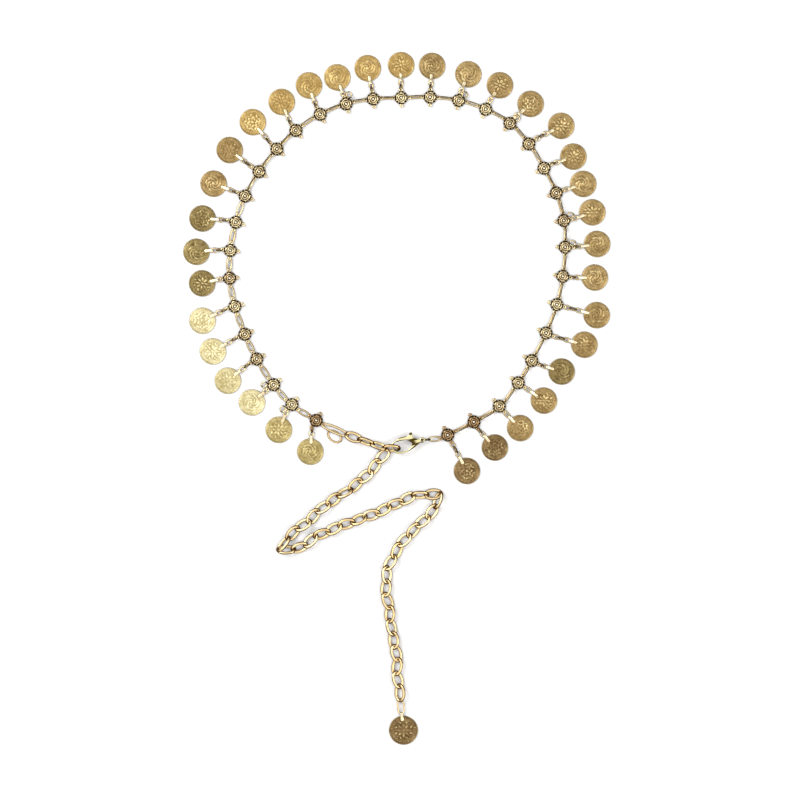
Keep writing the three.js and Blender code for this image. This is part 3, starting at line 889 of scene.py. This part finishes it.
def bail_shape():
    """The strip's sections from under the coin's edge, round the eye, to the leaf's tip."""
    radius = BAIL["bore"] + BAIL["thick"] / 2
    eye = [
        (radius * math.cos(t), PIVOT_HEIGHT + radius * math.sin(t))
        for t in np.radians(np.linspace(-75, -255, 9))
    ]
    under = [(2.2, 0.35), (1.2, 0.42)]
    over = [(0.8, 2.12), (1.5, 1.72), (2.3, 1.46), (3.2, 1.34), (4.2, 1.28), (4.65, 1.25)]
    line = np.array([*under, *eye, *over, (BAIL["end"], 1.2)])
    ways = np.gradient(line, axis=0)
    ways /= np.linalg.norm(ways, axis=1)[:, None]
    count = len(line)
    widths = np.full(count, BAIL["eye_width"])
    widths[-7:-2] = np.linspace(BAIL["eye_width"], BAIL["leaf_width"], 5)
    widths[-3:] = BAIL["leaf_width"] * np.array([1.0, 0.78, 0.3])
    sides = 8
    turns = np.arange(sides) * 2 * np.pi / sides + np.pi / sides
    vertices = []
    for (x, z), (dx, dz), width in zip(line, ways, widths):
        for t in turns:
            across, out = (math.copysign(abs(q) ** BAIL["corner"], q) for q in (math.cos(t), math.sin(t)))
            off = out * BAIL["thick"] / 2
            vertices.append((x - dz * off, across * width / 2, z + dx * off))
    faces = [
        (i + k, i + (k + 1) % sides, i + sides + (k + 1) % sides, i + sides + k)
        for i in range(0, (count - 1) * sides, sides)
        for k in range(sides)
    ]
    faces += [tuple(reversed(range(sides))), tuple((count - 1) * sides + k for k in range(sides))]
    return np.array(vertices) - np.array([0, 0, PIVOT_HEIGHT]), faces


bail_vertices, bail_faces = bail_shape()
for node in [*coin_nodes, "end_coin"]:
    pivot, way = pivot_and_way(node)
    tones = np.full(len(bail_vertices), chance.uniform(0, 1))
    bail = mesh_object(
        f"{node}_bail", turned_to(bail_vertices, pivot, way), bail_faces, bail_metal, {"tone": tones}
    )
    store_up(bail)
    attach(bail, f"{node}_body")

# ---- Adjuster chain ----
# A curb chain of heavy oval links in champagne gold, each through the next, with a long narrow end
# link and a jump ring at the ring's end. Painted light on top; painted brown shade where links meet.

UPPER_ROUTE = [(-32.8, -23.4), (-17, -28.9), (-8.5, -31.8), (2, -32.2)]
TAIL_ROUTE = [
    (-6.4, -34.3),
    (-12.4, -41),
    (-26, -55.2),
    (-46, -68.8),
    (-60.5, -81.5),
    (-73.5, -93),
    (-76.6, -99.6),
    (-72.5, -101.8),
    (-52, -89.6),
    (-13, -74.4),
    (8.5, -65),
    (26.6, -61.6),
    (29.6, -65.4),
    (17, -80.5),
    (4, -93.5),
    (-6.6, -113),
    (-5.6, -138),
    (-1.2, -165),
    (2.8, -205),
]
CURB = {"wire": 2.0, "width": 7.9, "pitch": 8.7, "roll": 22, "tipped_roll": 50, "gap": 0.02}
ROLL_SPREAD = 10
TIPPED_SHARE = 0.2
UPPER_LINKS = 4
HOOKED = {"height": 3.9, "roll": 55}  # the upper chain's last link, in the clasp's hook
CHAIN_RUNS = [  # node, links
    ("chain_tail_upper", 12),
    ("chain_tail_middle", 13),
    ("chain_tail_lower", 8),
    ("chain_tail_end", 8),
]

champagne = wire_metal(
    "champagne gold", colour(252, 228, 176), colour(241, 208, 148), colour(92, 60, 24), lit_above=0.22
)


def joints_along(route, pitch, count):
    """The joints of a chain of rigid links laid along a curve, one pitch apart."""
    curve = curve_through([Vector((x, y, 0)) + SHIFT for x, y in route])
    found = [curve(0)]
    steps = 16000
    for k in range(steps + 1):
        point = curve(k / steps)
        if len(found) <= count and (point - found[-1]).length >= pitch:
            found.append(point)
    return found


def lifted(point, height):
    return Vector((point.x, point.y, height))


def staggered(points, most):
    """The joints moved to the left and right in turn, as in a chain that was dropped on a table."""
    moved = [points[0]]
    for k in range(1, len(points) - 1):
        aside = Vector((0, 0, 1)).cross(points[k + 1] - points[k - 1]).normalized()
        moved.append(points[k] + aside * float(chance.uniform(0.2, 1) * most * (-1) ** k))
    return moved + [points[-1]]


def curb_row(start, end, roll):
    """A row of the curb chain for a link that rests on the table, rolled onto one side, some steeply."""
    if chance.uniform() < TIPPED_SHARE:
        roll = math.copysign(CURB["tipped_roll"], roll)
    roll += float(chance.uniform(-ROLL_SPREAD, ROLL_SPREAD))
    height = resting_height(CURB, roll)
    return ring_row(lifted(start, height), lifted(end, height), CURB["width"], CURB["wire"], roll)


upper = joints_along(UPPER_ROUTE, CURB["pitch"], UPPER_LINKS)
upper_rows = [
    curb_row(upper[k], upper[k + 1], CURB["roll"] * (1 if k % 2 else -1)) for k in range(UPPER_LINKS - 1)
]
hooked_ends = [lifted(point, HOOKED["height"]) for point in upper[-2:]]
upper_rows.append(ring_row(*hooked_ends, CURB["width"], CURB["wire"], HOOKED["roll"]))
upper_chain = wire_rings("chain_upper_links", upper_rows, CURB["wire"], champagne, steps=28, sides=10)
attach(upper_chain, "belt")
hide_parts("chain_to_clasp")

END_LINK = {"wire": 1.5, "width": 5.6, "height": 2.1, "roll": -22}
end_row = ring_row(
    loop_of(0, BACK, END_LINK["height"]),
    lifted(upper[0], END_LINK["height"]),
    END_LINK["width"],
    END_LINK["wire"],
    END_LINK["roll"],
)
end_link = wire_rings("chain_end_link", [end_row], END_LINK["wire"], champagne, steps=28, sides=10)
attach(end_link, "belt")

TAIL_STAGGER = 1.3
tail_links = sum(count for _, count in CHAIN_RUNS)
tail = staggered(joints_along(TAIL_ROUTE, CURB["pitch"], tail_links), TAIL_STAGGER)
first = 0
for name, count in CHAIN_RUNS:
    rows = [
        curb_row(tail[k], tail[k + 1], CURB["roll"] * (-1 if k % 2 else 1))
        for k in range(first, first + count)
    ]
    run = wire_rings(f"{name}_links", rows, CURB["wire"], champagne, steps=28, sides=10)
    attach(run, "belt")
    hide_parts(name)
    first += count

LAST_LINK = {"wire": 1.0, "width": 5.2}
last_joint, end_pivot = lifted(tail[-1], PIVOT_HEIGHT), pivot_and_way("end_coin")[0]
last_row = ring_row(last_joint, end_pivot, LAST_LINK["width"], LAST_LINK["wire"], 0)
last_link = wire_rings("chain_last_link", [last_row], LAST_LINK["wire"], champagne, steps=18, sides=8)
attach(last_link, "belt")

JUMP = {"length": 11, "width": 7.6, "wire": 1.25, "turn": math.radians(-36)}
jump_middle = Vector((-41.2, -24.4, 0.62)) + SHIFT
jump_way = Vector((math.cos(JUMP["turn"]), math.sin(JUMP["turn"]), 0))
jump_half = jump_way * (JUMP["length"] - JUMP["wire"]) / 2
jump_row = ring_row(jump_middle - jump_half, jump_middle + jump_half, JUMP["width"], JUMP["wire"], 0, 0)
jump = wire_rings("jump_ring_wire", [jump_row], JUMP["wire"], champagne, steps=32, sides=10)
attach(jump, "belt")
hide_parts("jump_ring")

# ---- Clasp ----
# A small lobster clasp of bright gold: a cast body bent round into a hook with an eye behind it, and
# a sprung gate with a thumb piece that closes the hook's upper side.

HOOK_END = Vector((-3.9, -32.3, 0)) + SHIFT
EYE_END = Vector((19, -26, 0)) + SHIFT
CLASP = {"bottom": 2.7, "thick": 2.3, "bevel": 0.5, "eye": 9.4, "eye_bore": 0.85}
clasp_height = Matrix.Translation((0, 0, CLASP["bottom"] + CLASP["thick"] / 2))
clasp_place = between(HOOK_END, EYE_END, 0) @ clasp_height

BODY_OUTLINE = [  # from the hook's end along the upper side to the eye, and back along the lower side
    (-11.3, 0.3),
    (-10.5, 2.6),
    (-8.3, 4.25),
    (-4.8, 4.8),
    (-0.6, 4.5),
    (3.2, 3.3),
    (6.3, 1.6),
    (7.9, 1.25),
    (9.4, 1.8),
    (10.8, 1.2),
    (11.3, 0),
    (10.8, -1.2),
    (9.4, -1.8),
    (7.7, -1.5),
    (5.6, -2.3),
    (2.4, -3.7),
    (-1.2, -4.8),
    (-4.8, -5.2),
    (-8.3, -4.5),
    (-10.5, -2.5),
]
BODY_HOLE = [
    (-10.1, 0.2),
    (-9.3, 2.3),
    (-7.3, 3.2),
    (-4.2, 3.3),
    (-1.0, 2.5),
    (1.3, 1.2),
    (2.3, -0.5),
    (1.2, -2.3),
    (-1.2, -3.6),
    (-4.6, -4.05),
    (-7.7, -3.4),
    (-9.5, -2.0),
]


def rounded_loop(points, per_span=6):
    """A smooth closed line through the points."""
    p = [Vector((x, y)) for x, y in points]
    n = len(p)
    line = []
    for i in range(n):
        a, b, c, d = p[i - 1], p[i], p[(i + 1) % n], p[(i + 2) % n]
        for k in range(per_span):
            w = k / per_span
            square, cube = 2 * a - 5 * b + 4 * c - d, 3 * b - a - 3 * c + d
            line.append(0.5 * (2 * b + (c - a) * w + square * w**2 + cube * w**3))
    return line


def plate(name, loops, thick, bevel, material, place):
    """A flat plate with rounded edges from closed lines in millimetres, put in its place."""
    curve = bpy.data.curves.new(name, "CURVE")
    curve.dimensions = "2D"
    curve.fill_mode = "BOTH"
    curve.extrude = (thick / 2 - bevel) * MM
    curve.bevel_depth = bevel * MM
    curve.bevel_resolution = 3
    curve.offset = -bevel * MM
    for loop in loops:
        spline = curve.splines.new("POLY")
        spline.points.add(len(loop) - 1)
        spline.use_cyclic_u = True
        for point, (x, y) in zip(spline.points, loop):
            point.co = (x * MM, y * MM, 0, 1)
    flat = bpy.data.objects.new(name, curve)
    scene.collection.objects.link(flat)
    evaluated = flat.evaluated_get(bpy.context.evaluated_depsgraph_get())
    mesh = bpy.data.meshes.new_from_object(evaluated)
    bpy.data.objects.remove(flat)
    scaled = place.copy()
    scaled.translation = scaled.translation * MM
    mesh.transform(scaled)
    mesh.materials.clear()
    mesh.materials.append(material)
    mesh.polygons.foreach_set("use_smooth", [True] * len(mesh.polygons))
    made = bpy.data.objects.new(name, mesh)
    scene.collection.objects.link(made)
    return made


def circle(x, radius, steps=20):
    turns = [k * 2 * math.pi / steps for k in range(steps)]
    return [(x + radius * math.cos(turn), radius * math.sin(turn)) for turn in turns]


bright_gold = wire_metal(
    "bright gold",
    colour(255, 246, 204),
    colour(246, 234, 178),
    colour(74, 58, 18),
    roughness=0.2,
    lit_above=0.5,
)
eye_hole = circle(CLASP["eye"], CLASP["eye_bore"])
clasp_loops = [rounded_loop(BODY_OUTLINE), rounded_loop(BODY_HOLE), eye_hole]
clasp = plate("clasp_casting", clasp_loops, CLASP["thick"], CLASP["bevel"], bright_gold, clasp_place)

GATE = {"from": -7.4, "to": 4.2, "nub": 6.8, "thick": 1.6, "bevel": 0.35}
GAP = {"play": 0.25, "lower": 2.35, "upper": 8, "half_height": 3}
cut_mesh = bpy.data.meshes.new("gate gap")
corners = [
    (x, y, z)
    for x in (GATE["from"] - GAP["play"], GATE["to"] + GAP["play"])
    for y in (GAP["lower"], GAP["upper"])
    for z in (-GAP["half_height"], GAP["half_height"])
]
cut_mesh.from_pydata(
    [tuple((clasp_place @ Vector(corner)) * MM) for corner in corners],
    [],
    [(0, 1, 3, 2), (4, 6, 7, 5), (0, 4, 5, 1), (2, 3, 7, 6), (0, 2, 6, 4), (1, 5, 7, 3)],
)
cutter = bpy.data.objects.new("gate gap", cut_mesh)
scene.collection.objects.link(cutter)
cut = clasp.modifiers.new("gap", "BOOLEAN")
cut.operation = "DIFFERENCE"
cut.object = cutter
cut.solver = "EXACT"
clasp_mesh = bpy.data.meshes.new_from_object(clasp.evaluated_get(bpy.context.evaluated_depsgraph_get()))
clasp.modifiers.clear()
clasp.data = clasp_mesh
bpy.data.objects.remove(cutter)

# Painted shade on the clasp: how wide its dark edge lines are, how dark, and where the thumb piece's dark
# begins.
PAINTED_SHADE = {"reach": 0.62, "level": 1.05, "nub": 4.9}


def store_painted_shade(made):
    """Painted shade on the thumb piece, along the hole's upper edge and the lower side, and in the crease
    before the eye.
    """
    inner_edge = [q for q in rounded_loop(BODY_HOLE) if q.y > -1.5]
    lower_edge = [q for q in rounded_loop(BODY_OUTLINE) if q.y < -1.4 and q.x > -1]
    grime_and_shade = []
    for vertex in made.data.vertices:
        p = clasp_place.inverted() @ (vertex.co / MM)
        crease = abs(p.y) < 2.6 and abs(0.8 * (p.x - 6.4) + 0.6 * p.y) < 0.8
        line = min((p.xy - q).length for q in inner_edge + lower_edge) < PAINTED_SHADE["reach"]
        grime_and_shade.append(PAINTED_SHADE["level"] if crease or line or p.y > PAINTED_SHADE["nub"] else 0.0)
    store(made, "tip", grime_and_shade)
    store(made, "outside", grime_and_shade)


store_up(clasp)
store_painted_shade(clasp)
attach(clasp, "belt")
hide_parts("clasp_body")

gate_outline = [
    (GATE["from"], 3.1),
    (GATE["from"] + 2, 3.15),
    (-1.0, 2.9),
    (1.6, 2.5),
    (GATE["to"], 2.0),
    (GATE["to"], 2.9),
    (4.0, 3.7),
    (4.2, GATE["nub"] - 0.4),
    (3.3, GATE["nub"]),
    (2.1, GATE["nub"] - 0.4),
    (1.5, 4.9),
    (-1.5, 5.35),
    (-4.5, 5.3),
    (GATE["from"] + 0.6, 4.7),
    (GATE["from"], 4.3),
]
gate = plate("clasp_lever", [gate_outline], GATE["thick"], GATE["bevel"], bright_gold, clasp_place)
store_up(gate)
store_painted_shade(gate)
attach(gate, "belt")
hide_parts("clasp_gate")

EYE_LINKS = {"wire": 1.05, "height": 1.6, "meet": 0.62}
EYE_OVAL = {"width": 4.2, "wire": 1.15, "roll": 20}
EYE_RING = {"width": 3.0, "wire": 1.0, "roll": 78}
eye_middle = clasp_place @ Vector((CLASP["eye"], 0, 0))
last_loop = loop_of(ROSETTE_COUNT - 1, NEXT, EYE_LINKS["height"])
eye_joint = last_loop.lerp(eye_middle, EYE_LINKS["meet"])
eye_rows = [
    ring_row(start, end, link["width"], link["wire"], link["roll"])
    for start, end, link in ((last_loop, eye_joint, EYE_OVAL), (eye_joint, eye_middle, EYE_RING))
]
eye_link = wire_rings("eye_links", eye_rows, EYE_LINKS["wire"], pale_wire, steps=20, sides=8)
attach(eye_link, "belt")

bpy.context.view_layer.update()
